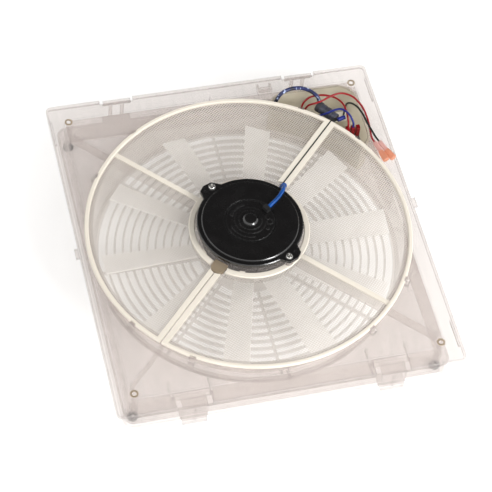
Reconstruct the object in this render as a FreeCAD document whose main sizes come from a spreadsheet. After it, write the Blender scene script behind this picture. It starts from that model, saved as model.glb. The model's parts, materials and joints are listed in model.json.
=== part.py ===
import FreeCAD, Part
import Sketcher
import math
import os
import re

# Roof ventilator fan module, standing room side down on the rim of its tray.
# The origin is on the fan axis, on the plane of that rim. +Z is up, +Y points at the two fixed hooks
# and -Y at the two hinged latches. Lengths are millimetres and angles are degrees.

SIZES = {
    # how far a cutting tool or a joined root runs past a face
    "over": 1,
    # top plate and its outer lip
    "plate_x": 368, "plate_y": 400, "plate_low": 45.5, "plate_top": 48, "plate_corner": 6,
    "lip_thick": 2, "lip_low": 43.5, "opening": 168.6,
    "side_tab_x": 188, "side_tab_near": -4, "side_tab_far": 8,
    # skirt, corner posts, ribs and fins under the plate
    "skirt_x": 335, "skirt_y": 363, "skirt_wall": 2, "skirt_low": 8, "skirt_corner": 8,
    "post_x": 162, "post_y": 176, "post_radius": 4.5, "bolt_hole": 2.5,
    "rib_half": 0.75, "rib_low": 30, "rib_start": 170, "mid_rib_far": 186,
    "fin_start": 20, "fin_thick": 2, "fin_low": 39.5, "fin_near": 198.5, "fin_far": 167,
    "edge_rib_x": 181.5, "edge_rib_low": 42, "edge_rib_start": 150, "edge_rib_end": 182,
    # notches for the latches and the hooks
    "latch_x": 104.5, "notch_half": 18.75, "near_notch_y": 183.2, "far_notch_y": 194.6,
    # tray
    "tray_x": 348, "tray_y": 379, "tray_top": 22, "tray_corner": 12, "tray_edge": 4, "tray_wall": 2.2,
    "rim_width": 6, "floor_low": 4, "floor_high": 6.5, "grille_hole": 163,
    "ledge_half": 14, "ledge_y": 199, "ledge_low": 22, "ledge_high": 25,
    "hook_half": 15.5, "hook_low": 19, "hook_y": 195.2, "hook_thick": 2, "hook_bar_low": 43,
    "hook_top": 49.6, "hook_lip_low": 48.1, "hook_lip_y": 192, "hook_leg_x": 6.5, "hook_leg_half": 2,
    # room grille
    "grille_band": 160, "grille_rim": 162.8, "grille_flange": 166, "grille_top": 8,
    "grille_pitch": 8.8, "ring_half": 1, "ring_count": 11, "rib_count": 8, "grille_disc": 52,
    "grille_rib_half": 1.25,
    # fan duct
    "duct_low_radius": 163, "duct_top_radius": 166.5, "duct_wall": 1.9, "duct_flange": 174.5,
    "duct_top": 49.2, "ring_in": 51, "ring_out": 64, "ring_low": 40, "arm_half": 4, "arm_low": 34,
    "arm_end": 166.8, "boss_place": 59.5, "boss_angle": 120, "boss_radius": 4, "boss_top": 58,
    "thread_hole": 2, "thread_low": 46,
    # screen guard and mesh
    "mesh_thick": 0.5, "mesh_in": 62, "mesh_out": 174, "guard_in": 171, "guard_out": 175.4, "guard_top": 52.7,
    "bevel": 0.8, "hub_ring_in": 58.5, "hub_ring_out": 65, "hub_ring_top": 51.6, "spoke_half": 2.7,
    "spoke_top": 51.2, "bar_half": 6.2, "bar_top": 52.2, "gap_half": 0.8, "keyhole_place": 62.5, "keyhole": 9,
    "tab_spread": 12, "tab_half": 3.2, "tab_in": 175, "tab_out": 176.8, "tab_low": 42.5, "barb_out": 180,
    "barb_top": 45.3, "notch_in": 173.8, "tab_notch_half": 3.6, "tongue_in": 174.2, "tongue_top": 51.9,
    "slot_in": 174.8, "slot_out": 179.4, "slot_half": 3.9,
    "small_tab_spread": 24, "small_tab_in": 57.4, "small_tab_half": 3, "small_tab_top": 51,
    "boss_cover_half": 7.5, "boss_cover_in": 56, "boss_cover_end": 70, "boss_cover_nose": 4,
    "boss_cover_top": 52.6,
    # motor
    "can_radius": 50, "can_wall": 2, "can_low": 31, "bearing_radius": 11, "bearing_depth": 7,
    "housing_wall": 2, "seat_wall": 1.5, "shaft_radius": 4, "shaft_gap": 0.05, "shaft_pass": 5.5,
    "shaft_low": 10,
    "flange_radius": 57, "flange_top": 62, "cap_radius": 52, "cap_top": 63.6, "cap_skin": 60, "cap_inner": 45,
    "groove_radius": 27, "groove_half": 1, "groove_floor": 62.6, "cap_boss": 8, "cap_boss_top": 67.4,
    "boss_round": 1.6, "step_radius": 12.5, "step_top": 64.7, "wide_step": 17, "wide_step_top": 64.1,
    "crescent_radius": 21, "crescent_top": 64.2, "bump_place": 20.5, "bump_radius": 1.7, "bump_top": 64.6,
    "eye_radius": 3.8, "eye_hole": 2.8, "eye_turn": -14, "far_bump_turn": 149, "near_bump_turn": 319,
    "near_arc": 80, "near_arc_turn": 190, "far_arc": 50, "far_arc_turn": 95,
    "lug_root": 46, "lug_root_half": 17, "lug_end": 66.5, "lug_near": 6.5, "lug_far": 13.5, "lug_corner": 3,
    "lug_hole": 2.2, "dimple_aside": 9.5, "dimple_radius": 1.6, "dimple_floor": 61,
    "screw_radius": 1.9, "screw_head": 4, "screw_top": 64.4, "screw_low": 47, "cross_half": 0.5,
    "cross_arm": 2.2, "cross_low": 63.3,
    "magnet_in": 40.5, "magnet_out": 47.9, "magnet_low": 34, "magnet_top": 50, "magnet_span": 150,
    "core_radius": 39.5, "core_low": 37, "core_top": 45, "core_slots": 12, "slot_start": 16, "slot_width": 3,
    "winding_out": 34, "winding_half": 2.6, "winding_low": 34, "winding_top": 48,
    "commutator_radius": 13.5, "commutator_top": 54, "card_low": 56, "card_in": 15,
    "holder_start": 14.2, "holder_end": 29, "holder_half": 4, "holder_low": 48.5, "brush_half": 2.5,
    "brush_low": 49.5, "brush_top": 53.5, "brush_tip": 13.6, "brush_end": 23, "brush_gap": 0.1,
    "spring_radius": 1.8, "spring_end": 27.5, "bearing_upper_low": 55,
    # impeller
    "hub_radius": 46, "hub_wall": 3, "hub_low": 16, "hub_top": 27, "hub_floor": 18.5, "hub_boss": 9,
    "hub_boss_low": 12, "hub_boss_top": 23.5, "clip_radius": 7, "clip_low": 10.6,
    "blade_count": 10, "blade_root": 44.5, "blade_tip": 157, "root_chord": 22, "tip_chord": 29,
    "root_pitch": 24, "tip_pitch": 14, "blade_half": 1, "blade_level": 22,
    # latches
    "hinge_y": 187, "hinge_z": 44.6, "hinge_bar": 3.3, "hinge_bar_half": 18.5, "pin_r": 1.5, "pin_half": 21,
    "pin_clear": 0.05, "latch_half": 13, "latch_top": 47.6, "latch_thick": 2, "latch_out": 203,
    "latch_low": 19,
    "catch_in": 196, "catch_top": 20.6, "foot_out": 204.5, "foot_top": 20.5, "spine_out": 203.8,
    "spine_half": 1, "spine_low": 24, "spine_top": 43,
    # rubber bushes in the tray corners
    "bush_flange": 5.5, "bush_neck": 4, "bush_low": 2, "washer_radius": 4.3,
    "washer_hole": 2.6, "washer_top": 48.5,
    # control pod
    "pod_left": 62, "pod_right": 164, "pod_near": 84, "pod_far": 178, "pod_corner": 22, "pod_wall": 1.8,
    "pod_arc": 171.5, "pocket_arc": 176.6, "pocket_margin": 1,
    "switch_x": 150, "switch_y": 120, "switch_half_x": 9.4, "switch_half_y": 6.4, "bezel": 1.8,
    "bezel_low": 2.5, "switch_top": 22, "well_half_x": 8.2, "well_half_y": 4.7, "well_top": 10,
    "rocker_half_x": 7.2, "rocker_half_y": 4.4, "rocker_low": 1.5, "rocker_top": 8, "rocker_z": 6,
    "rocker_pin": 1, "rocker_pin_half": 5.5, "rocker_hole_half": 5.6,
    "blade_pitch": 6, "blade_x": 3.1, "blade_y": 0.4, "blade_end": 26, "sleeve_x": 2.6, "sleeve_y": 2,
    "sleeve_end": 40,
    "dial_x": 108, "dial_y": 155, "dial_radius": 9, "dial_low": 0.6, "dial_high": 3.4, "stem_radius": 3,
    "stem_top": 17, "stem_clear": 0.05, "control_radius": 9.5, "control_top": 20, "stem_hole": 3.6,
    "dial_notches": 20, "dial_notch": 0.7, "pointer_half": 0.6, "pointer_start": 2,
    "resistor_x": 148, "resistor_y": 158, "resistor_half_x": 9, "resistor_half_y": 4, "resistor_top": 16,
    "screw_hole": 1.8, "screw_margin": 8, "far_screw_in": 14, "near_screw_in": 20, "pod_screw": 1.7,
    "pod_screw_head": 3.4, "pod_screw_top": 10.3,
    "holder_radius": 6, "holder_level": 40, "cap_length": 6, "cap_wide": 6.4, "saddle_half": 1.5,
    "crimp_radius": 2.4, "crimp_level": 44,
    "clamp_left": 53, "clamp_right": 69, "clamp_near": 176, "clamp_far": 186, "clamp_base": 50,
    "clamp_top": 56, "clamp_wall": 2,
    "grommet_in": 20, "grommet_out": 25.4, "grommet_half": 4, "grommet_top": 68.4, "grommet_turn": 28,
    # wires
    "lead_sleeve_size": 4.2, "lead_wire_size": 1.4, "loop_size": 4.2, "hookup_size": 2.2,
    "splice_radius": 2.6, "splice_cap_root": 3, "splice_cap_end": 3.8,
    "splice_cap_length": 13, "splice_level": 52,
}

UP = FreeCAD.Vector(0, 0, 1)
CORNERS = [(1, 1), (-1, 1), (-1, -1), (1, -1)]

doc = FreeCAD.newDocument("RoofFan")
sheet = doc.addObject("Spreadsheet::Sheet", "Dims")
for row, (alias, value) in enumerate(SIZES.items(), start=1):
    sheet.set(f"A{row}", alias)
    sheet.set(f"B{row}", str(value))
    sheet.setAlias(f"B{row}", alias)
doc.recompute()

pieces = []


def formula(text):
    """Turn a sum of named sizes into an expression on the sheet's cells."""
    return re.sub(r"[a-z_]+", lambda word: "Dims." + word[0] if word[0] in SIZES else word[0], text)


def size(name):
    """The sheet's own value of a named size."""
    return float(getattr(sheet, name))


def piece(thing, label):
    """Name a finished piece, which is later written to its own file."""
    thing.Label = label
    pieces.append(thing)
    return thing


def place(thing, x="0", y="0", z="0", turn="0"):
    """Put a primitive at x, y, z, then swing it about the fan axis."""
    thing.Placement = FreeCAD.Placement(FreeCAD.Vector(), FreeCAD.Rotation(UP, 1))
    thing.setExpression("Placement.Base.x", formula(f"({x})*cos({turn}) - ({y})*sin({turn})"))
    thing.setExpression("Placement.Base.y", formula(f"({x})*sin({turn}) + ({y})*cos({turn})"))
    thing.setExpression("Placement.Base.z", formula(z))
    thing.setExpression("Placement.Rotation.Angle", formula(turn))


def block(name, x0, x1, y0, y1, low, high, turn="0"):
    box = doc.addObject("Part::Box", name)
    box.setExpression("Length", formula(f"({x1}) - ({x0})"))
    box.setExpression("Width", formula(f"({y1}) - ({y0})"))
    box.setExpression("Height", formula(f"({high}) - ({low})"))
    place(box, x0, y0, low, turn)
    return box


def rod(name, radius, low, high, x="0", y="0", turn="0"):
    cylinder = doc.addObject("Part::Cylinder", name)
    cylinder.setExpression("Radius", formula(radius))
    cylinder.setExpression("Height", formula(f"({high}) - ({low})"))
    place(cylinder, x, y, low, turn)
    return cylinder


def cross_rod(name, radius, start, end, x, y, z, along=FreeCAD.Vector(1, 0, 0)):
    """A cylinder lying along X or Y, from start to end on either side of x, y, z."""
    cylinder = doc.addObject("Part::Cylinder", name)
    cylinder.setExpression("Radius", formula(radius))
    cylinder.setExpression("Height", formula(f"({end}) - ({start})"))
    cylinder.Placement = FreeCAD.Placement(FreeCAD.Vector(), FreeCAD.Rotation(UP, along))
    shift_x = f"({x}) + ({start})" if along.x else x
    shift_y = f"({y}) + ({start})" if along.y else y
    cylinder.setExpression("Placement.Base.x", formula(shift_x))
    cylinder.setExpression("Placement.Base.y", formula(shift_y))
    cylinder.setExpression("Placement.Base.z", formula(z))
    return cylinder


def union(name, parts):
    joined = doc.addObject("Part::MultiFuse", name)
    joined.Shapes = parts
    joined.Refine = True
    return joined


def group(name, parts):
    together = doc.addObject("Part::Compound", name)
    together.Links = parts
    return together


def minus(name, base, tools):
    cut = doc.addObject("Part::Cut", name)
    cut.Base = base
    cut.Tool = tools[0] if len(tools) == 1 else union(name + "_tools", tools)
    cut.Refine = True
    return cut


def plane_of(body, role):
    return next(item for item in body.Origin.OriginFeatures if item.Role == role)


def sketch_on(body, name, plane="XY_Plane", level="0", turn="0"):
    """A sketch on one of the body's own planes, raised by level and swung by turn."""
    sketch = body.newObject("Sketcher::SketchObject", name)
    sketch.AttachmentSupport = [(plane_of(body, plane), "")]
    sketch.MapMode = "FlatFace"
    sketch.AttachmentOffset = FreeCAD.Placement(FreeCAD.Vector(), FreeCAD.Rotation(UP, 1))
    sketch.setExpression("AttachmentOffset.Base.z", formula(level))
    sketch.setExpression("AttachmentOffset.Rotation.Angle", formula(turn))
    return sketch


def pin_down(sketch, shape, point, across, along):
    for kind, text in (("DistanceX", across), ("DistanceY", along)):
        index = sketch.addConstraint(Sketcher.Constraint(kind, -1, 1, shape, point, 1.0))
        sketch.setExpression(f"Constraints[{index}]", formula(text))


def draw_loop(sketch, corners):
    """A closed polygon whose every corner is bound to named sizes."""
    count = len(corners)
    first = sketch.GeometryCount
    spots = [FreeCAD.Vector(math.cos(math.tau * n / count), math.sin(math.tau * n / count), 0) * 10
             for n in range(count)]
    for n in range(count):
        sketch.addGeometry(Part.LineSegment(spots[n], spots[(n + 1) % count]), False)
    for n, (across, along) in enumerate(corners):
        sketch.addConstraint(Sketcher.Constraint("Coincident", first + n, 2, first + (n + 1) % count, 1))
        pin_down(sketch, first + n, 1, across, along)


def draw_circle(sketch, across, along, radius):
    circle = sketch.addGeometry(Part.Circle(FreeCAD.Vector(1, 1, 0), UP, 5), False)
    pin_down(sketch, circle, 3, across, along)
    index = sketch.addConstraint(Sketcher.Constraint("Radius", circle, 5))
    sketch.setExpression(f"Constraints[{index}]", formula(radius))


def pad(body, name, low, high, loops=(), circles=(), turn="0"):
    """Extrude closed loops and circles, drawn in plan, from low to high."""
    sketch = sketch_on(body, name + "_plan", level=low, turn=turn)
    for loop in loops:
        draw_loop(sketch, loop)
    for circle in circles:
        draw_circle(sketch, *circle)
    feature = body.newObject("PartDesign::Pad", name)
    feature.Profile = sketch
    feature.setExpression("Length", formula(f"({high}) - ({low})"))
    return feature


def pattern(body, name, feature, count):
    around = body.newObject("PartDesign::PolarPattern", name)
    around.Originals = [feature]
    around.Axis = (plane_of(body, "Z_Axis"), [""])
    around.Angle = 360
    around.setExpression("Occurrences", formula(count))
    body.Tip = around
    return around


def turned(name, loops, angle="360", start="0"):
    """A body of revolution about the fan axis, from loops of (radius, height)."""
    body = doc.addObject("PartDesign::Body", name)
    sketch = sketch_on(body, name + "_profile", "XZ_Plane")
    for loop in loops:
        draw_loop(sketch, loop)
    spin = body.newObject("PartDesign::Revolution", name + "_spin")
    spin.Profile = sketch
    spin.ReferenceAxis = (plane_of(body, "Z_Axis"), [""])
    spin.setExpression("Angle", formula(angle))
    body.Placement = FreeCAD.Placement(FreeCAD.Vector(), FreeCAD.Rotation(UP, 1))
    body.setExpression("Placement.Rotation.Angle", formula(start))
    return body


def ring_profile(inner, outer, low, high):
    return [(inner, low), (outer, low), (outer, high), (inner, high)]


def round_edges(body, name, feature, radius, chosen):
    """Fillet those edges of a feature that the chosen test picks."""
    doc.recompute()
    edges = [f"Edge{n}" for n, edge in enumerate(feature.Shape.Edges, 1) if chosen(edge)]
    fillet = body.newObject("PartDesign::Fillet", name)
    fillet.Base = (feature, edges)
    fillet.setExpression("Radius", formula(radius))
    return fillet


def is_upright(edge):
    return edge.Curve.TypeId == "Part::GeomLine" and abs(edge.tangentAt(edge.FirstParameter).z) > 0.99


def lies_at_bottom(edge):
    return all(abs(vertex.Z) < 1e-6 for vertex in edge.Vertexes)


def slab(name, x0, x1, y0, y1, low, high, corner):
    """A flat block with its four upright edges rounded."""
    body = doc.addObject("PartDesign::Body", name)
    outline = [(x0, y0), (x1, y0), (x1, y1), (x0, y1)]
    core = pad(body, name + "_pad", low, high, loops=[outline])
    round_edges(body, name + "_corners", core, corner, is_upright)
    return body


def centred_slab(name, half_x, half_y, low, high, corner):
    return slab(name, f"-({half_x})", half_x, f"-({half_y})", half_y, low, high, corner)


def polar_point(radius, angle, height):
    """A point of a wire's route, given by its distance and bearing from the fan axis."""
    bearing = math.radians(angle)
    return (radius * math.cos(bearing), radius * math.sin(bearing), height)


def route_tube(points, diameter):
    """A round tube along straight runs that tangent arcs join, and the arcs' radii."""
    spots = [FreeCAD.Vector(*point) for point in points]
    start = spots[0]
    edges = []
    radii = []
    for before, here, after in zip(spots, spots[1:], spots[2:]):
        run_in = here - before
        run_out = after - here
        half_turn = run_in.getAngle(run_out) / 2
        reach = 0.45 * min(run_in.Length, run_out.Length)
        radii.append(reach / math.tan(half_turn))
        arc_start = here - run_in.normalize() * reach
        arc_end = here + run_out.normalize() * reach
        inward = (run_out - run_in).normalize()
        sagitta = radii[-1] / math.cos(half_turn) - radii[-1]
        edges.append(Part.LineSegment(start, arc_start).toShape())
        edges.append(Part.Arc(arc_start, here + inward * sagitta, arc_end).toShape())
        start = arc_end
    edges.append(Part.LineSegment(start, spots[-1]).toShape())
    path = Part.Wire(edges)
    section = Part.Wire(Part.makeCircle(diameter / 2, spots[0], spots[1] - spots[0]))
    tube = path.makePipeShell([section], True, False)
    expected = math.pi * diameter ** 2 / 4 * path.Length
    if abs(tube.Volume / expected - 1) > 0.01:
        raise ValueError("a tube's volume is not its section times its length")
    return tube, radii


def wire_piece(label, routes, diameter):
    """One node of one or more tubes; prints each tube's bend radii."""
    tubes = []
    for points in routes:
        tube, radii = route_tube(points, size(diameter))
        tubes.append(tube)
        print(label, "bend radii:", " ".join(f"{radius:.1f}" for radius in radii))
    feature = doc.addObject("Part::Feature", label)
    feature.Shape = tubes[0] if len(tubes) == 1 else Part.makeCompound(tubes)
    feature.Placement = FreeCAD.Placement()
    return piece(feature, label)


def upper_frame():
    plate = centred_slab("plate", "plate_x/2", "plate_y/2", "plate_low", "plate_top", "plate_corner")
    lip_block = centred_slab("lip_block", "plate_x/2", "plate_y/2", "lip_low", "plate_low", "plate_corner")
    lip_void = centred_slab("lip_void", "plate_x/2 - lip_thick", "plate_y/2 - lip_thick",
                            "lip_low", "plate_low", "plate_corner - lip_thick")
    skirt_block = centred_slab("skirt_block", "skirt_x/2", "skirt_y/2", "skirt_low", "plate_low",
                               "skirt_corner")
    skirt_void = centred_slab("skirt_void", "skirt_x/2 - skirt_wall", "skirt_y/2 - skirt_wall",
                              "skirt_low", "plate_low", "skirt_corner - skirt_wall")
    parts = [plate, minus("lip", lip_block, [lip_void]), minus("skirt", skirt_block, [skirt_void])]
    holes = [rod("duct_opening", "opening", "skirt_low - over", "plate_top + over")]
    for n, (sx, sy) in enumerate(CORNERS):
        x, y = f"{sx}*post_x", f"{sy}*post_y"
        parts.append(rod(f"post{n}", "post_radius", "floor_high", "plate_top", x, y))
        holes.append(rod(f"post_hole{n}", "bolt_hole", "floor_high - over", "plate_top + over", x, y))
    # the pod fills the first corner, so only the other three have a diagonal rib
    for n, (sx, sy) in list(enumerate(CORNERS))[1:]:
        turn = str(45 + 90 * n)
        parts.append(block(f"corner_rib{n}", "rib_start", "sqrt(2)*post_x", "-rib_half", "rib_half",
                           "rib_low", "plate_low", turn))
        ends = ("post_x", "post_y") if sy > 0 else ("-post_y", "-post_x")
        parts.append(block(f"rib_kink{n}", f"{sx}*post_x - rib_half", f"{sx}*post_x + rib_half",
                           ends[0], ends[1], "rib_low", "plate_low"))
    parts.append(block("mid_rib_far", "-rib_half", "rib_half", "rib_start", "mid_rib_far",
                       "rib_low", "plate_low"))
    parts.append(block("mid_rib_near", "-rib_half", "rib_half", "-mid_rib_far", "-rib_start",
                       "rib_low", "plate_low"))
    parts.append(block("side_tabs", "-side_tab_x", "side_tab_x", "side_tab_near", "side_tab_far",
                       "plate_low", "plate_top"))
    for n, (x0, y0, y1) in enumerate([("-edge_rib_x", "edge_rib_start", "edge_rib_end"),
                                      ("edge_rib_x - 2*rib_half", "edge_rib_start", "edge_rib_end"),
                                      ("edge_rib_x - 2*rib_half", "-edge_rib_end", "-edge_rib_start")]):
        parts.append(block(f"edge_rib{n}", x0, f"{x0} + 2*rib_half", y0, y1, "edge_rib_low", "plate_low"))
    for n, side in enumerate((-1, 1)):
        middle = f"{side}*latch_x"
        holes.append(block(f"near_notch{n}", f"{middle} - notch_half", f"{middle} + notch_half",
                           "-plate_y/2 - over", "-near_notch_y", "lip_low - over", "plate_top + over"))
        holes.append(block(f"far_notch{n}", f"{middle} - notch_half", f"{middle} + notch_half",
                           "far_notch_y", "plate_y/2 + over", "lip_low - over", "plate_top + over"))
        for end in (-1, 1):
            inner = f"{middle} + {end}*fin_start"
            outer = f"{inner} + {end}*fin_thick"
            x0, x1 = (inner, outer) if end > 0 else (outer, inner)
            parts.append(block(f"fin{n}_{end + 1}", x0, x1, "-fin_near", "-fin_far", "fin_low", "plate_low"))
        holes.append(cross_rod(f"hinge_bore{n}", "pin_r + pin_clear", "-pin_half - 2*pin_clear",
                               "pin_half + 2*pin_clear", middle, "-hinge_y", "hinge_z"))
    for n, turn in enumerate(tab_turns()):
        holes.append(block(f"tab_slot{n}", "slot_in", "slot_out", "-slot_half", "slot_half",
                           "plate_low - over", "plate_top + over", turn))
    holes.append(minus("wiring_pocket", pod_block("pocket_block", "pod_wall + pocket_margin",
                                                  "lip_low", "plate_top + over"),
                       [rod("pocket_ring", "pocket_arc", "lip_low - over", "plate_top + 2*over")]))
    piece(minus("frame_cut", union("frame_solid", parts), holes), "upper_frame")


def tab_turns():
    """Bearings of the eight snap tabs, a pair about each diagonal."""
    return [f"{45 + 90 * n} + {side}*tab_spread" for n in range(4) for side in (-1, 1)]


def pod_block(name, inset, low, high):
    return slab(name, f"pod_left + {inset}", f"pod_right - ({inset})", f"pod_near + {inset}",
                f"pod_far - ({inset})", low, high, f"pod_corner - ({inset})")


def lower_tray():
    shell = centred_slab("tray_shell", "tray_x/2", "tray_y/2", "0", "tray_top", "tray_corner")
    round_edges(shell, "tray_foot", shell.Tip, "tray_edge", lies_at_bottom)
    well = centred_slab("tray_well", "tray_x/2 - tray_wall", "tray_y/2 - tray_wall",
                        "floor_high", "tray_top + over", "tray_corner - tray_wall")
    recess = centred_slab("tray_recess", "tray_x/2 - rim_width", "tray_y/2 - rim_width",
                          "-over", "floor_low", "tray_corner - rim_width")
    parts = [minus("tray_basin", shell, [well, recess])]
    for n, side in enumerate((-1, 1)):
        middle = f"{side}*latch_x"
        parts.append(block(f"ledge{n}", f"{middle} - ledge_half", f"{middle} + ledge_half", "-ledge_y",
                           "-tray_y/2 + tray_wall", "ledge_low", "ledge_high"))
        left, right = f"{middle} - hook_half", f"{middle} + hook_half"
        parts.append(block(f"hook_web{n}", left, right, "tray_y/2 - tray_wall", "hook_y + hook_thick",
                           "hook_low", "tray_top"))
        parts.append(block(f"hook_bar{n}", left, right, "hook_y", "hook_y + hook_thick",
                           "hook_bar_low", "hook_top"))
        parts.append(block(f"hook_lip{n}", left, right, "hook_lip_y", "hook_y + hook_thick",
                           "hook_lip_low", "hook_top"))
        for leg, end in enumerate((-1, 1)):
            spot = f"{middle} + {end}*hook_leg_x"
            parts.append(block(f"hook_leg{n}_{leg}", f"{spot} - hook_leg_half", f"{spot} + hook_leg_half",
                               "hook_y", "hook_y + hook_thick", "hook_low", "hook_bar_low + over"))
    holes = [rod("tray_opening", "grille_hole", "-over", "floor_high + over")]
    for n, (sx, sy) in enumerate(CORNERS):
        holes.append(rod(f"bush_hole{n}", "bush_neck", "-over", "floor_high + over", f"{sx}*post_x",
                         f"{sy}*post_y"))
    holes.extend(pod_openings("tray", "floor_low - over", "floor_high + over"))
    piece(minus("tray_cut", union("tray_solid", parts), holes), "lower_tray")


POD_SCREWS = [("pod_left + far_screw_in", "pod_far - screw_margin"),
              ("pod_right - screw_margin", "pod_near + near_screw_in")]


def pod_openings(owner, low, high):
    """Cutting tools for the switch, the speed control's stem and the two screws."""
    tools = [block(owner + "_switch_hole", "switch_x - switch_half_x", "switch_x + switch_half_x",
                   "switch_y - switch_half_y", "switch_y + switch_half_y", low, high)]
    tools.append(rod(owner + "_stem_hole", "stem_hole", low, high, "dial_x", "dial_y"))
    for n, (x, y) in enumerate(POD_SCREWS):
        tools.append(rod(f"{owner}_screw_hole{n}", "screw_hole", low, high, x, y))
    return tools


def room_grille():
    body = doc.addObject("PartDesign::Body", "grille_body")
    pad(body, "grille_centre", "floor_low", "grille_top", circles=[("0", "0", "grille_disc")])
    rib = [("grille_disc - 2*over", "-grille_rib_half"), ("grille_band + over", "-grille_rib_half"),
           ("grille_band + over", "grille_rib_half"), ("grille_disc - 2*over", "grille_rib_half")]
    spoke = pad(body, "grille_rib", "floor_low", "grille_top", loops=[rib])
    pattern(body, "grille_ribs", spoke, "rib_count")
    circles = [("0", "0", "grille_rim"), ("0", "0", "grille_band")]
    for n in range(1, int(size("ring_count")) + 1):
        for side in (-1, 1):
            circles.append(("0", "0", f"grille_band - {n}*grille_pitch + {side}*ring_half"))
    body.Tip = pad(body, "grille_rings", "floor_low", "grille_top", circles=circles)
    flange = [("0", "0", "grille_flange"), ("0", "0", "grille_band + over")]
    body.Tip = pad(body, "grille_rim_flange", "floor_high", "grille_top", circles=flange)
    piece(body, "room_grille")


def fan_duct():
    wall = [("duct_low_radius", "grille_top"), ("duct_low_radius + duct_wall", "grille_top"),
            ("duct_top_radius + duct_wall", "plate_top"), ("duct_flange", "plate_top"),
            ("duct_flange", "duct_top"), ("duct_top_radius", "duct_top"), ("duct_top_radius", "plate_top")]
    centre = ring_profile("ring_in", "ring_out", "ring_low", "duct_top")
    parts = [turned("duct_wall_ring", [wall]), turned("duct_centre_ring", [centre])]
    for n in range(4):
        parts.append(block(f"duct_arm{n}", "ring_in + arm_half", "arm_end", "-arm_half", "arm_half",
                           "arm_low", "duct_top", str(45 + 90 * n)))
    for n, turn in enumerate(tab_turns()):
        parts.append(block(f"tab_root{n}", "duct_flange - over", "tab_out", "-tab_half", "tab_half",
                           "plate_top", "duct_top", turn))
        parts.append(block(f"tab_leg{n}", "tab_in", "tab_out", "-tab_half", "tab_half", "tab_low", "duct_top",
                           turn))
        parts.append(block(f"tab_tongue{n}", "tongue_in", "tab_out", "-tab_half", "tab_half",
                           "duct_top - over",
                           "tongue_top", turn))
        parts.append(block(f"tab_barb{n}", "tab_out", "barb_out", "-tab_half", "tab_half", "tab_low",
                           "barb_top",
                           turn))
    holes = [rod("motor_bore", "ring_in", "arm_low - over", "duct_top + over")]
    for n in range(2):
        turn = f"boss_angle + {180 * n}"
        parts.append(rod(f"boss{n}", "boss_radius", "ring_low", "boss_top", "boss_place", "0", turn))
        holes.append(rod(f"boss_thread{n}", "thread_hole", "thread_low", "boss_top + over", "boss_place",
                         "0", turn))
    piece(minus("duct_cut", union("duct_solid", parts), holes), "fan_duct")


def guard_halves():
    """Two halves of the screen guard, parted along the 45 degree diagonal, each over its own mesh."""
    low = "duct_top + mesh_thick"
    rim = [("guard_in", low), ("guard_out", low), ("guard_out", "guard_top - bevel"),
           ("guard_out - bevel", "guard_top"), ("guard_in + bevel", "guard_top"),
           ("guard_in", "guard_top - bevel")]
    hub = [("hub_ring_in", low), ("hub_ring_out", low), ("hub_ring_out", "hub_ring_top - bevel"),
           ("hub_ring_out - bevel", "hub_ring_top"), ("hub_ring_in + bevel", "hub_ring_top"),
           ("hub_ring_in", "hub_ring_top - bevel")]
    for label, turn in (("left", "45"), ("right", "225")):
        middle = f"{turn} + 90"
        parts = [turned(f"guard_rim_{label}", [rim]), turned(f"guard_hub_{label}", [hub])]
        parts.append(block(f"spoke_{label}", "hub_ring_out - over", "guard_in + over", "-spoke_half",
                           "spoke_half", low, "spoke_top", middle))
        for end, (start, finish) in enumerate((("hub_ring_out - over", "guard_in + over"),
                                               ("-guard_in - over", "-hub_ring_out + over"))):
            parts.append(block(f"bar_{label}{end}", start, finish, "0", "bar_half", low, "bar_top", turn))
        for end, side in ((0, 1), (180, -1)):
            parts.append(block(f"small_tab_{label}{end}", "small_tab_in", "hub_ring_in + over",
                               "-small_tab_half", "small_tab_half", low, "small_tab_top",
                               f"{turn} + {end} + {side}*small_tab_spread"))
        cuts = [block(f"other_side_{label}", "-plate_x", "plate_x", "-plate_x", "gap_half",
                      "duct_top - over", "guard_top + over", turn)]
        cuts.extend(rod(f"keyhole_{label}{end}", "keyhole", "duct_top", "guard_top + over", "keyhole_place",
                        "0", f"45 + {end}") for end in (0, 180))
        cuts.extend(rod(f"boss_notch_{label}{end}", "boss_radius + bevel", "duct_top", "guard_top + over",
                        "boss_place", "0", f"boss_angle + {end}") for end in (0, 180))
        notches = [block(f"rim_notch_{label}{n}", "notch_in", "guard_out + over", "-tab_notch_half",
                         "tab_notch_half", "duct_top", "guard_top + over", bearing)
                   for n, bearing in enumerate(tab_turns())]
        piece(minus(f"guard_cut_{label}", union(f"guard_solid_{label}", parts), cuts + notches),
              f"guard_half_{label}")
        screen = turned(f"mesh_sheet_{label}", [ring_profile("mesh_in", "mesh_out", "duct_top", low)])
        piece(minus(f"mesh_cut_{label}", screen, cuts), f"mesh_{label}")


def keyhole_cover():
    """The smoky cover in the keyhole opposite the leads."""
    body = doc.addObject("PartDesign::Body", "cover_body")
    outline = [("boss_cover_in", "-boss_cover_half"), ("boss_cover_end - boss_cover_nose",
                                                       "-boss_cover_half"),
               ("boss_cover_end", "-boss_cover_nose"), ("boss_cover_end", "boss_cover_nose"),
               ("boss_cover_end - boss_cover_nose", "boss_cover_half"), ("boss_cover_in", "boss_cover_half")]
    pad(body, "cover_pad", "duct_top", "boss_cover_top", loops=[outline], turn="225")
    piece(body, "keyhole_cover")


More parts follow.
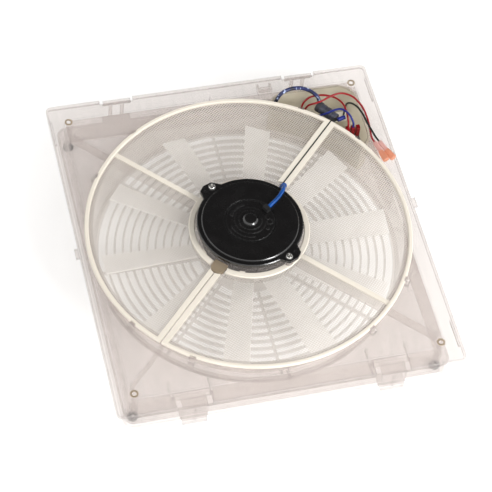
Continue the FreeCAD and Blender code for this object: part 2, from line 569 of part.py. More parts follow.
def motor_case():
    seat = "can_low + can_wall - bearing_depth"
    foot = f"{seat} - seat_wall"
    can = [("shaft_pass", foot), ("bearing_radius + housing_wall", foot),
           ("bearing_radius + housing_wall", "can_low"), ("can_radius", "can_low"), ("can_radius",
                                                                                     "boss_top"),
           ("can_radius - can_wall", "boss_top"), ("can_radius - can_wall", "can_low + can_wall"),
           ("bearing_radius", "can_low + can_wall"), ("bearing_radius", seat), ("shaft_pass", seat)]
    piece(turned("can_body", [can]), "motor_can")
    race = ring_profile("shaft_radius + shaft_gap", "bearing_radius", seat, "can_low + can_wall")
    piece(turned("lower_race", [race]), "bearing_lower")
    upper = ring_profile("shaft_radius + shaft_gap", "bearing_radius", "bearing_upper_low",
                         "bearing_upper_low + bearing_depth")
    piece(turned("upper_race", [upper]), "bearing_upper")
    for n, label in enumerate(("right", "left")):
        arc = ring_profile("magnet_in", "magnet_out", "magnet_low", "magnet_top")
        piece(turned(f"magnet_body_{label}", [arc], "magnet_span", f"{180 * n} - magnet_span/2"),
              f"magnet_{label}")


def motor_end_cap():
    seat_top = "bearing_upper_low + bearing_depth"
    cap = [("0", seat_top), ("bearing_radius", seat_top), ("bearing_radius", "bearing_upper_low"),
           ("bearing_radius + housing_wall", "bearing_upper_low"), ("bearing_radius + housing_wall",
                                                                    "cap_skin"),
           ("cap_inner", "cap_skin"), ("cap_inner", "boss_top"), ("flange_radius", "boss_top"),
           ("flange_radius", "flange_top - bevel"), ("flange_radius - bevel", "flange_top"),
           ("cap_radius", "flange_top"), ("cap_radius", "cap_top - bevel"), ("cap_radius - bevel", "cap_top"),
           ("groove_radius + groove_half", "cap_top"), ("groove_radius + groove_half", "groove_floor"),
           ("groove_radius - groove_half", "groove_floor"), ("groove_radius - groove_half", "cap_top"),
           ("wide_step", "cap_top"), ("wide_step", "wide_step_top"), ("step_radius", "wide_step_top"),
           ("step_radius", "step_top"), ("cap_boss", "step_top"), ("cap_boss", "cap_boss_top - boss_round"),
           ("cap_boss - boss_round", "cap_boss_top"), ("0", "cap_boss_top")]
    parts = [turned("cap_disc", [cap])]
    crescent = ring_profile("crescent_radius - groove_half", "crescent_radius + groove_half",
                            "cap_top", "crescent_top")
    for side in ("near", "far"):
        parts.append(turned(f"cap_crescent_{side}", [crescent], f"{side}_arc", f"{side}_arc_turn"))
        parts.append(rod(f"cap_bump_{side}", "bump_radius", "groove_floor", "bump_top", "bump_place", "0",
                         f"{side}_bump_turn"))
    parts.append(rod("cap_eye", "eye_radius", "groove_floor", "bump_top", "bump_place", "0", "eye_turn"))
    holes = [rod("cap_eye_hole", "eye_hole", "cap_top", "bump_top + over", "bump_place", "0", "eye_turn")]
    for n in range(2):
        turn = f"boss_angle + {180 * n}"
        lug = doc.addObject("PartDesign::Body", f"lug{n}")
        outline = [("lug_root", "-lug_root_half"), ("lug_end - 2*lug_corner", "-lug_near"),
                   ("lug_end - lug_corner/2", "-lug_near/2"), ("lug_end", "lug_far/2"),
                   ("lug_end - lug_corner", "lug_far"), ("lug_root", "lug_root_half + lug_corner")]
        pad(lug, f"lug_web{n}", "boss_top", "flange_top", loops=[outline], turn=turn)
        parts.append(lug)
        holes.append(rod(f"lug_bore{n}", "lug_hole", "boss_top - over", "flange_top + over", "boss_place",
                         "0", turn))
        holes.append(rod(f"lug_dimple{n}", "dimple_radius", "dimple_floor", "flange_top + over", "boss_place",
                         "dimple_aside", turn))
    piece(minus("cap_cut", union("cap_solid", parts), holes), "motor_end_cap")


def motor_screws():
    screws = []
    for n in range(2):
        turn = f"boss_angle + {180 * n}"
        shank = rod(f"screw_shank{n}", "screw_radius", "screw_low", "flange_top", "boss_place", "0", turn)
        head = rod(f"screw_head{n}", "screw_head", "flange_top", "screw_top", "boss_place", "0", turn)
        slots = [block(f"cross_a{n}", "boss_place - cross_arm", "boss_place + cross_arm", "-cross_half",
                       "cross_half", "cross_low", "screw_top + over", turn),
                 block(f"cross_b{n}", "boss_place - cross_half", "boss_place + cross_half", "-cross_arm",
                       "cross_arm", "cross_low", "screw_top + over", turn)]
        screws.append(minus(f"screw{n}", union(f"screw_blank{n}", [shank, head]), slots))
    piece(group("screw_pair", screws), "motor_screws")


def brush_gear():
    card = turned("card_ring", [ring_profile("card_in", "magnet_out", "card_low", "boss_top")])
    parts = [card]
    wells = []
    brushes = []
    springs = []
    for n in range(2):
        turn = str(180 * n)
        parts.append(block(f"holder{n}", "holder_start", "holder_end", "-holder_half", "holder_half",
                           "holder_low", "card_low", turn))
        wells.append(block(f"brush_well{n}", "holder_start - over", "spring_end", "-brush_half - brush_gap",
                           "brush_half + brush_gap", "brush_low - brush_gap", "brush_top + brush_gap", turn))
        brushes.append(block(f"brush{n}", "brush_tip", "brush_end", "-brush_half", "brush_half",
                             "brush_low", "brush_top", turn))
        start, end = ("brush_end", "spring_end") if n == 0 else ("-spring_end", "-brush_end")
        springs.append(cross_rod(f"spring{n}", "spring_radius", start, end, "0", "0",
                                 "(brush_low + brush_top)/2"))
    piece(minus("card_cut", union("card_solid", parts), wells), "brush_card")
    piece(group("brush_pair", brushes), "brushes")
    piece(group("spring_pair", springs), "brush_springs")


def armature():
    piece(rod("shaft_rod", "shaft_radius", "shaft_low", "bearing_upper_low + bearing_depth"), "motor_shaft")
    core = doc.addObject("PartDesign::Body", "core_body")
    pad(core, "core_disc", "core_low", "core_top", circles=[("0", "0", "core_radius"), ("0", "0",
                                                                                        "shaft_radius")])
    gap = sketch_on(core, "core_gap", level="core_top")
    draw_loop(gap, [("slot_start", "-slot_width"), ("core_radius + 2*over", "-slot_width"),
                    ("core_radius + 2*over", "slot_width"), ("slot_start", "slot_width")])
    groove = core.newObject("PartDesign::Pocket", "core_slot")
    groove.Profile = gap
    groove.setExpression("Length", formula("core_top - core_low"))
    pattern(core, "core_slot_ring", groove, "core_slots")
    piece(core, "armature_core")
    coils = [turned("coil_low", [ring_profile("slot_start", "winding_out", "winding_low", "core_low")]),
             turned("coil_top", [ring_profile("slot_start", "winding_out", "core_top", "winding_top")])]
    for n in range(int(size("core_slots"))):
        coils.append(block(f"coil_side{n}", "slot_start", "winding_out", "-winding_half", "winding_half",
                           "core_low", "core_top", f"{n}*360/core_slots"))
    piece(union("coil_set", coils), "armature_windings")
    segments = ring_profile("shaft_radius", "commutator_radius", "core_top", "commutator_top")
    piece(turned("commutator_body", [segments]), "commutator")


def impeller():
    body = doc.addObject("PartDesign::Body", "impeller_body")
    pad(body, "hub_boss_pad", "hub_boss_low", "hub_boss_top",
        circles=[("0", "0", "hub_boss"), ("0", "0", "shaft_radius")])
    pad(body, "hub_plate", "hub_low", "hub_floor", circles=[("0", "0", "hub_radius"), ("0", "0",
                                                                                       "shaft_radius")])
    pad(body, "hub_rim", "hub_low", "hub_top",
        circles=[("0", "0", "hub_radius"), ("0", "0", "hub_radius - hub_wall")])
    root = blade_section(body, "blade_root_section", "blade_root", "root_chord", "root_pitch")
    tip = blade_section(body, "blade_tip_section", "blade_tip", "tip_chord", "tip_pitch")
    blade = body.newObject("PartDesign::AdditiveLoft", "blade")
    blade.Profile = root
    blade.Sections = [tip]
    blade.Ruled = True
    pattern(body, "blades", blade, "blade_count")
    piece(body, "impeller")
    clip = ring_profile("shaft_radius", "clip_radius", "clip_low", "hub_boss_low")
    piece(turned("clip_ring", [clip]), "hub_clip")


def blade_section(body, name, radius, chord, pitch):
    """The blade's flat section at one radius, tilted by its pitch; its counter-clockwise edge is higher."""
    sketch = sketch_on(body, name, "YZ_Plane", radius)
    along, rise = f"{chord}/2*cos({pitch})", f"{chord}/2*sin({pitch})"
    shift, thick = f"blade_half*sin({pitch})", f"blade_half*cos({pitch})"
    draw_loop(sketch, [(f"-{along} + {shift}", f"blade_level - {rise} - {thick}"),
                       (f"{along} + {shift}", f"blade_level + {rise} - {thick}"),
                       (f"{along} - {shift}", f"blade_level + {rise} + {thick}"),
                       (f"-{along} - {shift}", f"blade_level - {rise} + {thick}")])
    return sketch


def latch_clips():
    for label, side in (("left", -1), ("right", 1)):
        middle = f"{side}*latch_x"
        left, right = f"{middle} - latch_half", f"{middle} + latch_half"
        parts = [cross_rod(f"hinge_bar_{label}", "hinge_bar", "-hinge_bar_half", "hinge_bar_half",
                           middle, "-hinge_y", "hinge_z"),
                 cross_rod(f"hinge_pins_{label}", "pin_r", "-pin_half", "pin_half", middle, "-hinge_y",
                           "hinge_z"),
                 block(f"latch_arm_{label}", left, right, "-latch_out", "-hinge_y",
                       "latch_top - latch_thick", "latch_top"),
                 block(f"latch_leg_{label}", left, right, "-latch_out", "-latch_out + latch_thick",
                       "latch_low", "latch_top"),
                 block(f"latch_catch_{label}", left, right, "-latch_out", "-catch_in", "latch_low",
                       "catch_top"),
                 block(f"latch_foot_{label}", left, right, "-foot_out", "-latch_out", "latch_low",
                       "foot_top"),
                 block(f"latch_spine_{label}", f"{middle} - spine_half", f"{middle} + spine_half",
                       "-spine_out", "-latch_out", "spine_low", "spine_top")]
        piece(union(f"latch_{label}", parts), f"latch_clip_{label}")


def corner_fittings():
    bushes = []
    for n, (sx, sy) in enumerate(CORNERS):
        x, y = f"{sx}*post_x", f"{sy}*post_y"
        blank = union(f"bush_blank{n}", [rod(f"bush_flange{n}", "bush_flange", "bush_low", "floor_low", x, y),
                                         rod(f"bush_neck{n}", "bush_neck", "floor_low", "floor_high", x, y)])
        bore = rod(f"bush_bore{n}", "bolt_hole", "bush_low - over", "floor_high + over", x, y)
        bushes.append(minus(f"bush{n}", blank, [bore]))
    piece(group("bush_set", bushes), "corner_grommets")
    rings = []
    for n, (sx, sy) in enumerate(CORNERS):
        x, y = f"{sx}*post_x", f"{sy}*post_y"
        rings.append(minus(f"washer{n}", rod(f"washer_disc{n}", "washer_radius", "plate_top", "washer_top",
                                             x, y),
                           [rod(f"washer_bore{n}", "washer_hole", "plate_top - over", "washer_top + over",
                                x, y)]))
    piece(group("washer_set", rings), "corner_washers")


HOLDER_START = (122, 152)
HOLDER_END = (134.5, 135)


def holder_way():
    """Unit vector along the fuse holder, from its cap to its open end."""
    way = FreeCAD.Vector(HOLDER_END[0] - HOLDER_START[0], HOLDER_END[1] - HOLDER_START[1], 0)
    return way.normalize()


def level_rod(name, start, end, height, radius, end_radius=None):
    """A round bar or cone lying level between two points of the plan."""
    way = FreeCAD.Vector(end[0] - start[0], end[1] - start[1], 0)
    kind = "Part::Cylinder" if end_radius is None else "Part::Cone"
    bar = doc.addObject(kind, name)
    bar.setExpression("Radius" if end_radius is None else "Radius1", formula(radius))
    if end_radius is not None:
        bar.setExpression("Radius2", formula(end_radius))
    bar.Height = way.Length
    bar.Placement = FreeCAD.Placement(FreeCAD.Vector(start[0], start[1], 0), FreeCAD.Rotation(UP, way))
    bar.setExpression("Placement.Base.z", formula(height))
    return bar


def control_pod():
    outer = pod_block("pod_outer", "0", "floor_high", "plate_low")
    inner = pod_block("pod_inner", "pod_wall", "floor_high + pod_wall", "plate_low + over")
    shell = minus("pod_shell", outer, [rod("pod_shell_arc", "pod_arc", "0", "plate_top + 2*over")])
    void = minus("pod_void", inner, [rod("pod_void_arc", "pod_arc + pod_wall", "0", "plate_top + 2*over")])
    housing = minus("pod_walls", shell, [void])
    way = holder_way()
    middle_x = (HOLDER_START[0] + HOLDER_END[0]) / 2
    middle_y = (HOLDER_START[1] + HOLDER_END[1]) / 2
    saddle = doc.addObject("Part::Box", "pod_saddle")
    saddle.setExpression("Length", formula("2*saddle_half"))
    saddle.setExpression("Width", formula("2*holder_radius"))
    saddle.setExpression("Height", formula("holder_level - floor_high - holder_radius/2"))
    turn = FreeCAD.Rotation(FreeCAD.Vector(1, 0, 0), way)
    corner = turn.multVec(FreeCAD.Vector(-size("saddle_half"), -size("holder_radius"), 0))
    saddle.Placement = FreeCAD.Placement(FreeCAD.Vector(middle_x, middle_y, 0) + corner, turn)
    saddle.setExpression("Placement.Base.z", formula("floor_high"))
    trough = level_rod("saddle_trough", HOLDER_START, HOLDER_END, "holder_level", "holder_radius")
    holes = pod_openings("pod", "floor_high - over", "floor_high + pod_wall + over")
    piece(minus("pod_cut", union("pod_solid", [housing, saddle]), holes + [trough]), "control_pod")


def pod_contents():
    x, y = "switch_x", "switch_y"
    case = [block("switch_case", f"{x} - switch_half_x", f"{x} + switch_half_x", f"{y} - switch_half_y",
                  f"{y} + switch_half_y", "floor_low", "switch_top"),
            block("switch_bezel", f"{x} - switch_half_x - bezel", f"{x} + switch_half_x + bezel",
                  f"{y} - switch_half_y - bezel", f"{y} + switch_half_y + bezel", "bezel_low", "floor_low")]
    wells = [block("switch_well", f"{x} - well_half_x", f"{x} + well_half_x", f"{y} - well_half_y",
                   f"{y} + well_half_y", "bezel_low - over", "well_top"),
             cross_rod("rocker_bore", "rocker_pin + pin_clear", "-rocker_hole_half", "rocker_hole_half",
                       x, y, "rocker_z", FreeCAD.Vector(0, 1, 0))]
    piece(minus("switch_cut", union("switch_solid", case), wells), "switch_body")
    rocker = [block("rocker_key", f"{x} - rocker_half_x", f"{x} + rocker_half_x", f"{y} - rocker_half_y",
                    f"{y} + rocker_half_y", "rocker_low", "rocker_top"),
              cross_rod("rocker_pins", "rocker_pin", "-rocker_pin_half", "rocker_pin_half", x, y,
                        "rocker_z", FreeCAD.Vector(0, 1, 0))]
    piece(union("rocker_solid", rocker), "switch_rocker")
    tabs = []
    covers = []
    for n in (-1, 0, 1):
        spot = f"{x} + {n}*blade_pitch"
        tabs.append(block(f"terminal{n + 1}", f"{spot} - blade_y", f"{spot} + blade_y", f"{y} - blade_x",
                          f"{y} + blade_x", "switch_top", "blade_end"))
        covers.append(block(f"cover{n + 1}", f"{spot} - sleeve_y", f"{spot} + sleeve_y", f"{y} - sleeve_x",
                            f"{y} + sleeve_x", "blade_end", "sleeve_end"))
    piece(group("terminal_set", tabs), "switch_terminals")
    piece(group("cover_set", covers), "terminal_sleeves")
    body = rod("control_case", "control_radius", "floor_high + pod_wall", "control_top", "dial_x", "dial_y")
    bore = rod("control_bore", "stem_radius + stem_clear", "floor_high", "stem_top + stem_clear", "dial_x",
               "dial_y")
    piece(minus("control_cut", body, [bore]), "speed_control")
    piece(rod("stem", "stem_radius", "dial_high", "stem_top", "dial_x", "dial_y"), "speed_shaft")
    dial = rod("dial_disc", "dial_radius", "dial_low", "dial_high", "dial_x", "dial_y")
    notches = []
    for n in range(int(size("dial_notches"))):
        bearing = f"{n}*360/dial_notches"
        notches.append(rod(f"dial_notch{n}", "dial_notch", "dial_low - over", "dial_high + over",
                           f"dial_x + dial_radius*cos({bearing})", f"dial_y + dial_radius*sin({bearing})"))
    pointer = block("dial_pointer", "dial_x - pointer_half", "dial_x + pointer_half",
                    "dial_y + pointer_start",
                    "dial_y + dial_radius + over", "dial_low - over", "dial_low + pointer_half")
    piece(minus("dial_cut", dial, notches + [pointer]), "speed_knob")
    piece(block("resistor_body", "resistor_x - resistor_half_x", "resistor_x + resistor_half_x",
                "resistor_y - resistor_half_y", "resistor_y + resistor_half_y", "floor_high + pod_wall",
                "resistor_top"), "speed_resistor")
    screws = []
    for n, (sx, sy) in enumerate(POD_SCREWS):
        screws.append(union(f"pod_screw{n}", [
            rod(f"pod_shank{n}", "pod_screw", "floor_low", "floor_high + pod_wall", sx, sy),
            rod(f"pod_head{n}", "pod_screw_head", "floor_high + pod_wall", "pod_screw_top", sx, sy)]))
    piece(group("pod_screw_set", screws), "pod_screws")
    piece(level_rod("holder_tube", HOLDER_START, HOLDER_END, "holder_level", "holder_radius"), "fuse_holder")
    back = holder_way() * size("cap_length")
    cap_start = (HOLDER_START[0] - back.x, HOLDER_START[1] - back.y)
    piece(level_rod("holder_cap", cap_start, HOLDER_START, "holder_level", "cap_wide"), "fuse_cap")
    piece(level_rod("crimp_barrel", CRIMP_START, CRIMP_END, "crimp_level", "crimp_radius"), "blue_crimp")


def wire_clamp():
    parts = [block("clamp_foot", "clamp_left", "clamp_right", "clamp_near", "clamp_far", "plate_top",
                   "clamp_base"),
             block("clamp_west", "clamp_left", "clamp_left + clamp_wall", "clamp_near", "clamp_far",
                   "plate_top", "clamp_top"),
             block("clamp_east", "clamp_right - clamp_wall", "clamp_right", "clamp_near", "clamp_far",
                   "plate_top", "clamp_top"),
             block("clamp_roof", "clamp_left", "clamp_right", "clamp_near", "clamp_near + clamp_wall",
                   "plate_top", "clamp_top")]
    piece(union("clamp_solid", parts), "wire_clamp")


CRIMP_START = (134.5, 130.2)
CRIMP_END = (143, 132.5)
SPLICES = [((164.3, 85.5), (167.3, 73)), ((169.6, 86), (174.2, 73.5))]

# the sleeve on the motor: distance and bearing from the fan axis, and drop below the top of its run
SLEEVE_ROUTE = [(26, 28, 0), (42, 31.5, 0), (54, 35.5, 0.2), (61.2, 39.5, 3.3), (62.6, 42, 7.8), (62.5,
                                                                                                  43.6,
                                                                                                  11.8)]
SLEEVE_RIDE = 0.25
# the two leads in it lie one above the other in the groove between the guard's halves, then side by side
LEAD_LEVELS = (50.4, 52.0)
LEAD_ASIDE = 0.9
ROUTES = {
    "loop_sleeve": [(70, 166, 34), (72, 167.5, 46), (79, 171.5, 54), (91, 174, 56), (103, 172.5, 56),
                    (112, 166.5, 55), (118, 160, 52.5), (119.5, 157.5, 47.6)],
    "red_wire": [(104, 159, 20), (104, 159, 32), (107, 155, 46), (113, 150.5, 53), (121, 151, 55.2),
                 (131, 155.4, 55.8), (144.6, 158.5, 55.8), (156.5, 151.5, 55.4), (164.2, 135, 54.2),
                 (165, 113.5, 52.9), (162.4, 93.3, 52), (164.3, 85.5, 52)],
    "black_wire": [(152, 157, 16), (152, 157, 28), (151.5, 153, 42), (154, 146.5, 50), (158.8, 137.5, 52.6),
                   (161.7, 126, 53), (162.4, 113, 54), (163.6, 103, 55.8), (167.2, 92.6, 52), (169.6, 86,
                                                                                               52)],
    "red_link": [(100.8, 160, 20), (100.8, 160, 30), (102.5, 163, 40), (110.5, 166, 46), (125.7, 166, 47),
                 (139, 159.5, 47.5), (145.5, 148, 48.5), (146, 134, 48.2), (144, 120, 47), (144, 120, 40)],
    "speed_wire": [(150, 120, 40), (150, 120, 46.5), (147.6, 127, 52), (144, 133.5, 53.2), (139, 138.6, 52.6),
                   (131, 139.5, 50.2), (122, 140.5, 44), (114, 145, 36), (110.5, 150, 27), (110.5, 150, 20)],
}


def lead_route(n, ride):
    """One of the motor's two leads, from inside its sleeve along the groove to the crimp in the pod."""
    level = LEAD_LEVELS[n]
    aside = LEAD_ASIDE * (2 * n - 1)
    return [polar_point(62.5, 43.6 + aside, ride - 13.4), polar_point(65.5, 45 + aside, level + 1 + 0.5 * n),
            polar_point(69, 45, level), polar_point(177.5, 45, level),
            polar_point(182 + 1.5 * n, 45, 46.4 + 1.4 * n),
            (CRIMP_START[0] - 0.8, CRIMP_START[1] - 0.2, 43.2 + 1.6 * n)]


def wires():
    """Wires and sleeves, each along its own route of runs and tangent arcs."""
    ride = size("cap_top") + size("lead_sleeve_size") / 2 + SLEEVE_RIDE
    sleeve = [polar_point(radius, bearing, ride - drop) for radius, bearing, drop in SLEEVE_ROUTE]
    wire_piece("lead_sleeve", [sleeve], "lead_sleeve_size")
    piece(block("grommet_block", "grommet_in", "grommet_out", "-grommet_half", "grommet_half", "cap_top",
                "grommet_top", "grommet_turn"), "lead_grommet")
    wire_piece("lead_wires", [lead_route(n, ride) for n in range(2)], "lead_wire_size")
    for label, points in ROUTES.items():
        wire_piece(label, [points], "loop_size" if label == "loop_sleeve" else "hookup_size")
    sleeves = []
    caps = []
    for n, (start, end) in enumerate(SPLICES):
        way = FreeCAD.Vector(end[0] - start[0], end[1] - start[1], 0).normalize() * size("splice_cap_length")
        sleeves.append(level_rod(f"splice_sleeve{n}", start, end, "splice_level", "splice_radius"))
        caps.append(level_rod(f"splice_cap{n}", end, (end[0] + way.x, end[1] + way.y), "splice_level",
                              "splice_cap_root", "splice_cap_end"))
    piece(group("splice_sleeve_pair", sleeves), "splice_sleeves")
    piece(group("splice_cap_pair", caps), "splice_caps")


def check_and_write():
    """Stop on any failed feature or shape, then write each piece to its own file."""
    doc.recompute()
    for thing in doc.Objects:
        if "Invalid" in thing.State or "Error" in thing.State:
            raise ValueError(f"{thing.Label} failed: {thing.State}")
    for thing in pieces:
        if thing.Shape.isNull() or not thing.Shape.isValid() or not thing.Shape.Solids:
            raise ValueError(f"{thing.Label} has no valid solid")
    os.makedirs("parts", exist_ok=True)
    for thing in pieces:
        thing.Shape.exportStep(f"parts/{thing.Label}.step")
        print(thing.Label, "solids:", len(thing.Shape.Solids), "volume:", round(thing.Shape.Volume))


lower_tray()
room_grille()
upper_frame()
fan_duct()
guard_halves()
keyhole_cover()
motor_case()
motor_end_cap()
motor_screws()
brush_gear()
armature()
impeller()
latch_clips()
corner_fittings()
control_pod()
pod_contents()
wire_clamp()
wires()
check_and_write()
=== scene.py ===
import json
import math

import bmesh
import bpy
from mathutils import Matrix, Vector


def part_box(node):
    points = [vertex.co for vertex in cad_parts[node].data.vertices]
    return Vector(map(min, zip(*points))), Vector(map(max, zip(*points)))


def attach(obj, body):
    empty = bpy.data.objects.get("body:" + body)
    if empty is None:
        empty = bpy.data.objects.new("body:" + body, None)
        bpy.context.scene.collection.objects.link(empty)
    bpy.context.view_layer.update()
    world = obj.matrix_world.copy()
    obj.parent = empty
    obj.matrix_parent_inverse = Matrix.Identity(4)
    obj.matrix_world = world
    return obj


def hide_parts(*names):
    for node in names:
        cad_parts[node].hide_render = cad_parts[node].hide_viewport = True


# Looks of a clear-plastic roof ventilator fan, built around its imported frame. Lengths are metres
# unless a comment says otherwise.

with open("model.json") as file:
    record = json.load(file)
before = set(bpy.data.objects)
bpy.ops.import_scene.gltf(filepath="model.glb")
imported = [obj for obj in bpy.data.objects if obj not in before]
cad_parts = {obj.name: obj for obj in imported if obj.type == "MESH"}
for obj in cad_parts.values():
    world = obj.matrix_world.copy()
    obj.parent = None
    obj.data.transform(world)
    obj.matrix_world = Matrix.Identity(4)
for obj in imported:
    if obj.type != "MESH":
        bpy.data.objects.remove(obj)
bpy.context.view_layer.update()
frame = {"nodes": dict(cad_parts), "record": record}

MM = 0.001
TURN = math.tau

# the screen is woven square to the diagonal on which the guard parts
DIAGONAL = math.radians(45)
THREAD_PITCH = 2.4 * MM
THREAD_RADIUS = 0.25 * MM
THREAD_SIDES = 6
MESH_INNER = 62 * MM
KEYHOLE_PLACE = 62.5 * MM
KEYHOLE_RADIUS = 9 * MM
PARTING = 0.8 * MM

# turned details, in millimetres and degrees
BOSS_PLACE = 59.5
BOSS_ANGLES = (120, 300)
SCREW_LOW = 47
FLANGE_TOP = 62
SCREW_HEAD = 2.4
WIRE_NUTS = (((167.3, 73, 52), (170.3, 60.4, 52)), ((174.2, 73.5, 52), (178.7, 61.3, 52)))
FUSE_AXIS = ((122, 152, 40), (134.5, 135, 40))
TIE_AXIS = ((47.2, 39.8, 61.4), (46.8, 41.2, 58.2))

# smoothing and roundness of new pieces
SHARP_ANGLE = math.radians(35)
FINE_SIDES = 48
KNOB_SIDES = 64


# ---------------------------------------------------------------- materials

# how clear and tinted plastic treats light, with painted shade along clear edges and on clear walls seen edge
# on
FACE_GLOSS = 0.035
# the painted edge shade on clear plastic: its bevel samples, width, match range and darkness
EDGE_SAMPLES = 4
EDGE_WIDTH = 0.6 * MM
EDGE_MATCH = (0.80, 0.99)
EDGE_SHADE = 0.22
CLEAR_TINT = (0.940, 0.921, 0.910)
# darker see-through colour for clear walls seen edge on, a painted shade
CLEAR_GRAZING_SHADE = (0.84, 0.815, 0.80)
CLEAR_MILK = (0.60, 0.565, 0.55)
CLEAR_HAZE = 0.14
CLEAR_PASS = 0.9
TINTED_GLOW = 0.45
TINTED_PASS = 0.3
MOULDED_GLOSS = 0.3


def graph(name):
    material = bpy.data.materials.new(name)
    material.use_nodes = True
    material.node_tree.nodes.clear()
    return material, material.node_tree


def add(tree, kind, inputs=None, **settings):
    """A shader node with its settings, and its inputs set or linked."""
    node = tree.nodes.new("ShaderNode" + kind)
    for key, value in settings.items():
        setattr(node, key, value)
    for key, value in (inputs or {}).items():
        socket = node.inputs[key]
        if isinstance(value, bpy.types.NodeSocket):
            tree.links.new(value, socket)
        else:
            socket.default_value = value
    return node


def place_of(tree):
    return add(tree, "TexCoord").outputs["Object"]


def noise(tree, scale, detail=3.0, stretch=(1, 1, 1)):
    """Noise on the object's own coordinates, drawn out by a stretch."""
    mapping = add(tree, "Mapping", {"Vector": place_of(tree), "Scale": stretch})
    grain = add(tree, "TexNoise", {"Vector": mapping.outputs[0], "Scale": scale, "Detail": detail})
    return grain.outputs["Fac"]


def spread(tree, value, low, high, start=0.3, end=0.7):
    """Remap a noise value from start..end to low..high."""
    return add(tree, "MapRange", {"Value": value, "From Min": start, "From Max": end,
                                  "To Min": low, "To Max": high}).outputs["Result"]


def blend_colour(tree, factor, first, second):
    """From the first colour to the second as the factor goes from nought to one."""
    mix = add(tree, "Mix", data_type="RGBA")
    for socket, value in ((mix.inputs["Factor"], factor), (mix.inputs[6], first), (mix.inputs[7], second)):
        if isinstance(value, bpy.types.NodeSocket):
            tree.links.new(value, socket)
        else:
            socket.default_value = value
    return mix.outputs[2]


def bump(tree, height, strength, distance=0.1 * MM):
    return add(tree, "Bump", {"Height": height, "Strength": strength, "Distance": distance}).outputs["Normal"]


def finish_with(material, tree, shader):
    add(tree, "OutputMaterial", {"Surface": shader})
    return material


def pass_light(tree, shader, share):
    """Let a share of the light through to what lies below, as thin bright plastic does."""
    path = add(tree, "LightPath").outputs
    either = add(tree, "Math", {0: path["Is Shadow Ray"], 1: path["Is Diffuse Ray"]}, operation="MAXIMUM")
    amount = add(tree, "Math", {0: either.outputs[0], 1: share}, operation="MULTIPLY").outputs[0]
    open_way = add(tree, "BsdfTransparent").outputs[0]
    return add(tree, "MixShader", {"Fac": amount, 1: shader, 2: open_way}).outputs[0]


def rgba(colour):
    return (*colour, 1.0)


def shade(colour, factor):
    return rgba([channel * factor for channel in colour])


def window_gloss(tree, skin):
    """Share of light that a clear wall's face mirrors, the same going in as coming out."""
    facing = add(tree, "LayerWeight", {"Blend": 0.5, "Normal": skin}).outputs["Facing"]
    steep = add(tree, "Math", {0: facing, 1: 5.0}, operation="POWER").outputs[0]
    share = add(tree, "Math", {0: steep, 1: 1 - FACE_GLOSS, 2: FACE_GLOSS}, operation="MULTIPLY_ADD")
    return share.outputs[0]


def painted_edge_shade_mask(tree):
    """Mask for painted edge shade: one along a moulding's edges, standing in for the light trapped inside the
    plastic there, and nought elsewhere.
    """
    soft = add(tree, "Bevel", {"Radius": EDGE_WIDTH}, samples=EDGE_SAMPLES).outputs[0]
    flat = add(tree, "NewGeometry").outputs["True Normal"]
    match = add(tree, "VectorMath", {0: soft, 1: flat}, operation="DOT_PRODUCT").outputs["Value"]
    match = add(tree, "Math", {0: match}, operation="ABSOLUTE").outputs[0]
    return spread(tree, match, 1.0, 0.0, *EDGE_MATCH)


def clear_plastic(name):
    """Clear moulded plastic: nearly colourless face on, with painted shade that darkens it when seen edge on
    and along its edges, and a thin haze.
    """
    material, tree = graph(name)
    facing = add(tree, "LayerWeight", {"Blend": 0.3}).outputs["Facing"]
    flow = noise(tree, 22, 4, (1, 1, 0.4))
    # painted shade: the see-through colour darkens as a clear wall turns edge on to the view
    steep = spread(tree, facing, 0.0, 1.0, 0.35, 1.0)
    colour = blend_colour(tree, steep, rgba(CLEAR_TINT), rgba(CLEAR_GRAZING_SHADE))
    cloud = blend_colour(tree, spread(tree, flow, 0.0, 0.15), colour, shade(CLEAR_TINT, 0.97))
    # painted shade: the see-through colour darkens along every edge of the moulding
    cloud = blend_colour(tree, painted_edge_shade_mask(tree), cloud, shade(CLEAR_TINT, EDGE_SHADE))
    through = add(tree, "BsdfTransparent", {"Color": cloud}).outputs[0]
    skin = bump(tree, noise(tree, 900, 2), 0.06, 0.03 * MM)
    milky = add(tree, "BsdfDiffuse", {"Color": rgba(CLEAR_MILK), "Normal": skin}).outputs[0]
    glow = add(tree, "BsdfTranslucent", {"Color": rgba(CLEAR_MILK)}).outputs[0]
    milky = add(tree, "MixShader", {"Fac": 0.5, 1: milky, 2: glow}).outputs[0]
    scuff = spread(tree, noise(tree, 160, 6, (1, 0.15, 1)), 0.85, 1.2, 0.35, 0.75)
    amount = add(tree, "Math", {0: CLEAR_HAZE, 1: scuff}, operation="MULTIPLY").outputs[0]
    body = add(tree, "MixShader", {"Fac": amount, 1: through, 2: milky}).outputs[0]
    rough = spread(tree, flow, 0.05, 0.16)
    gloss = add(tree, "BsdfGlossy", {"Color": (1, 1, 1, 1), "Roughness": rough, "Normal": skin}).outputs[0]
    surface = add(tree, "MixShader", {"Fac": window_gloss(tree, skin), 1: body, 2: gloss}).outputs[0]
    return finish_with(material, tree, pass_light(tree, surface, CLEAR_PASS))


def moulded(name, colour, rough=0.4, mottle=0.05, grain=0.15, grain_scale=1500, translucent=0.0):
    """Opaque or slightly translucent moulded plastic with a fine grain and faint flow marks."""
    material, tree = graph(name)
    flow = noise(tree, 45, 5)
    base = blend_colour(tree, spread(tree, flow, 0, 1), shade(colour, 1 - mottle), rgba(colour))
    skin = bump(tree, noise(tree, grain_scale, 2), grain)
    dull = spread(tree, flow, rough * 0.85, rough * 1.2)
    body = add(tree, "BsdfPrincipled", {"Base Color": base, "Roughness": dull,
                                        "Specular IOR Level": MOULDED_GLOSS, "Normal": skin}).outputs[0]
    if translucent:
        glow = add(tree, "BsdfTranslucent", {"Color": base, "Normal": skin}).outputs[0]
        body = add(tree, "MixShader", {"Fac": translucent, 1: body, 2: glow}).outputs[0]
        body = pass_light(tree, body, translucent)
    return finish_with(material, tree, body)


